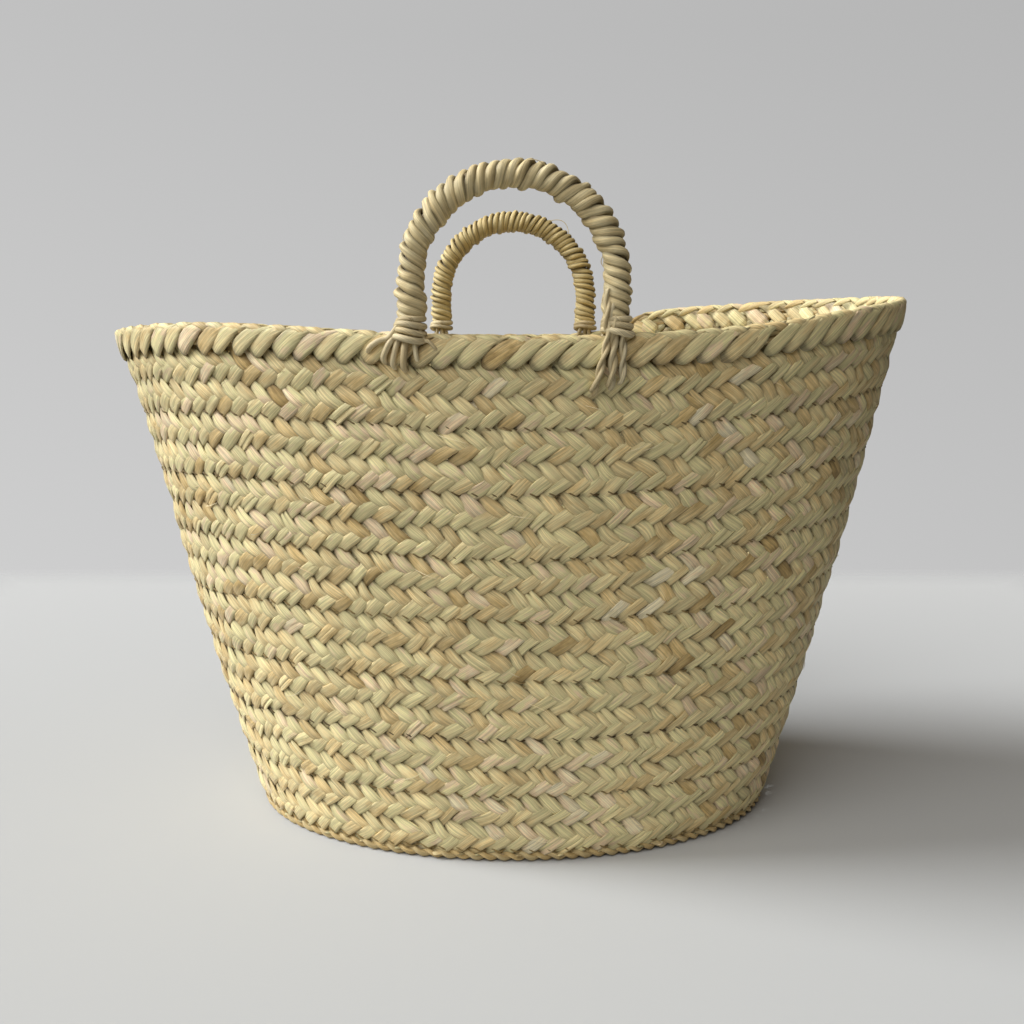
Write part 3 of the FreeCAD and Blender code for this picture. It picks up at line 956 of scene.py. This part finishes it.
tie("front", "left", -1, FRONT_LEFT_CORDS, 400, collar=4)
tie("front", "right", 1, FRONT_RIGHT_CORDS, 420, collar=3)
tie("rear", "left", -1, REAR_CORDS, 440, collar=2)
tie("rear", "right", 1, REAR_CORDS, 460, collar=2)

# %% [markdown]
# ## The table
#
# The basket stands on a sheet of matte grey paper, with painted light that makes it a little paler towards
# the back. The sheet turns transparent at its rim, so from the front it runs into the wall behind without a
# hard edge.

# %% Floor
floor_mesh = bpy.data.meshes.new("table_top")
floor_mesh.from_pydata([(-4, -4, 0), (4, -4, 0), (4, 4, 0), (-4, 4, 0)], [], [(0, 1, 2, 3)])
floor = bpy.data.objects.new("table_top", floor_mesh)
bpy.context.scene.collection.objects.link(floor)
paper = bpy.data.materials.new("Matte seamless paper")
paper.use_nodes = True
tree = paper.node_tree
shader = tree.nodes["Principled BSDF"]
shader.inputs["Roughness"].default_value = 0.9
place_xyz = add(tree, "SeparateXYZ", {0: add(tree, "NewGeometry").outputs["Position"]})
away = add(tree, "MapRange", {0: place_xyz.outputs[1]})
for key, value in (("From Min", -0.45), ("From Max", 0.60)):
    away.inputs[key].default_value = value
# Matte grey paper with no shine; the shadow on it comes from the lamps, and it is painted paler towards the
# back as painted light.
paper_grey_and_painted_light = ramp(tree, away.outputs[0], [(0.0, "#b0b1b0"), (0.45, "#b6b7b6"), (1.0, "#c3c4c3")])
tree.links.new(paper_grey_and_painted_light, shader.inputs["Base Color"])
square = add(tree, "Math", {0: add(tree, "Math", {0: place_xyz.outputs[0]}, operation="ABSOLUTE").outputs[0],
                            1: add(tree, "Math", {0: place_xyz.outputs[1]}, operation="ABSOLUTE").outputs[0]},
             operation="MAXIMUM")
fade = add(tree, "MapRange", {0: square.outputs[0]}, interpolation_type="SMOOTHSTEP")
for key, value in (("From Min", 0.60), ("From Max", 0.72), ("To Min", 1.0), ("To Max", 0.0)):
    fade.inputs[key].default_value = value
tree.links.new(fade.outputs[0], shader.inputs["Alpha"])
floor_mesh.materials.append(paper)

# %% [markdown]
# ## Light
#
# The main light is a wide window on the left. A near lamp would leave the table unevenly lit, so it is
# a far light with a broad angle. A large soft box in front and above fills the shaded side. The
# surroundings are smooth grey, and they show brighter than they light, which keeps the inside of the
# basket deep.

# %% Light and air
def area_light(name, energy, size, location, target, colour):
    """A square soft box that looks at a target."""
    data = bpy.data.lights.new(name, "AREA")
    data.energy = energy
    data.size = size
    data.color = linear(colour)[:3]
    lamp = bpy.data.objects.new(name, data)
    bpy.context.scene.collection.objects.link(lamp)
    lamp.location = location
    lamp.rotation_euler = (Vector(target) - Vector(location)).to_track_quat("-Z", "Y").to_euler()
    return lamp


# A far light keeps the table evenly lit; its wide angle gives the shadow a soft edge.
key_data = bpy.data.lights.new("key_window", "SUN")
key_data.energy = 3.8
key_data.angle = math.radians(24)
key_data.color = linear("#fafcff")[:3]
key = bpy.data.objects.new("key_window", key_data)
bpy.context.scene.collection.objects.link(key)
key.rotation_euler = Vector((2.0, -0.10, -1.55)).to_track_quat("-Z", "Y").to_euler()
fill = area_light("front_softbox", 106, 3.5, (-1.6, -2.15, 3.05), (0, 0, 0.15), "#ffffff")

# The wall behind is a smooth grey seen only by the camera, with painted light that makes it paler low down
# and on the left.
world = bpy.data.worlds.new("grey_studio")
bpy.context.scene.world = world
world.use_nodes = True
tree = world.node_tree
wall = tree.nodes["Background"]
heading = add(tree, "SeparateXYZ", {0: add(tree, "TexCoord").outputs["Generated"]})
height = add(tree, "MapRange", {0: heading.outputs[2]})
for key_name, value in (("From Min", -0.22), ("From Max", 0.22), ("To Min", 0.585), ("To Max", 0.50)):
    height.inputs[key_name].default_value = value
sideways = add(tree, "Math", {0: heading.outputs[0], 2: height.outputs[0]},
               operation="MULTIPLY_ADD", in_1=-0.085)
wall.inputs["Color"].default_value = linear("#ffffff")
tree.links.new(sideways.outputs[0], wall.inputs["Strength"])
above = add(tree, "MapRange", {0: heading.outputs[2]})
for key_name, value in (("From Min", 0.0), ("From Max", 1.0), ("To Min", 0.03), ("To Max", 0.27)):
    above.inputs[key_name].default_value = value
soft = add(tree, "Background", {1: above.outputs[0]}, in_0=linear("#fff3e4"))
camera_ray = add(tree, "LightPath").outputs["Is Camera Ray"]
seen = add(tree, "MixShader", {0: camera_ray, 1: soft.outputs[0], 2: wall.outputs[0]})
tree.links.new(seen.outputs[0], tree.nodes["World Output"].inputs["Surface"])
bpy.context.scene.view_settings.view_transform = "Standard"

# %% [markdown]
# ## Camera
#
# The camera stands in front and looks slightly down, so the mouth opens to a flat oval, the inside of
# the far wall shows and both handles stand clear.

# %% Camera
LOOK_DOWN = 9.99  # degrees
camera_data = bpy.data.cameras.new("camera")
camera_data.lens = 40.15
camera = bpy.data.objects.new("camera", camera_data)
bpy.context.scene.collection.objects.link(camera)
camera.location = (-0.001, -0.782, 0.3385)
camera.rotation_euler = (math.radians(90 - LOOK_DOWN), 0, 0)
bpy.context.scene.camera = camera

# %% [markdown]
# ## Finish
#
# The view layer is updated once more, so every piece stands where it was put.

# %% Finish
bpy.context.view_layer.update()
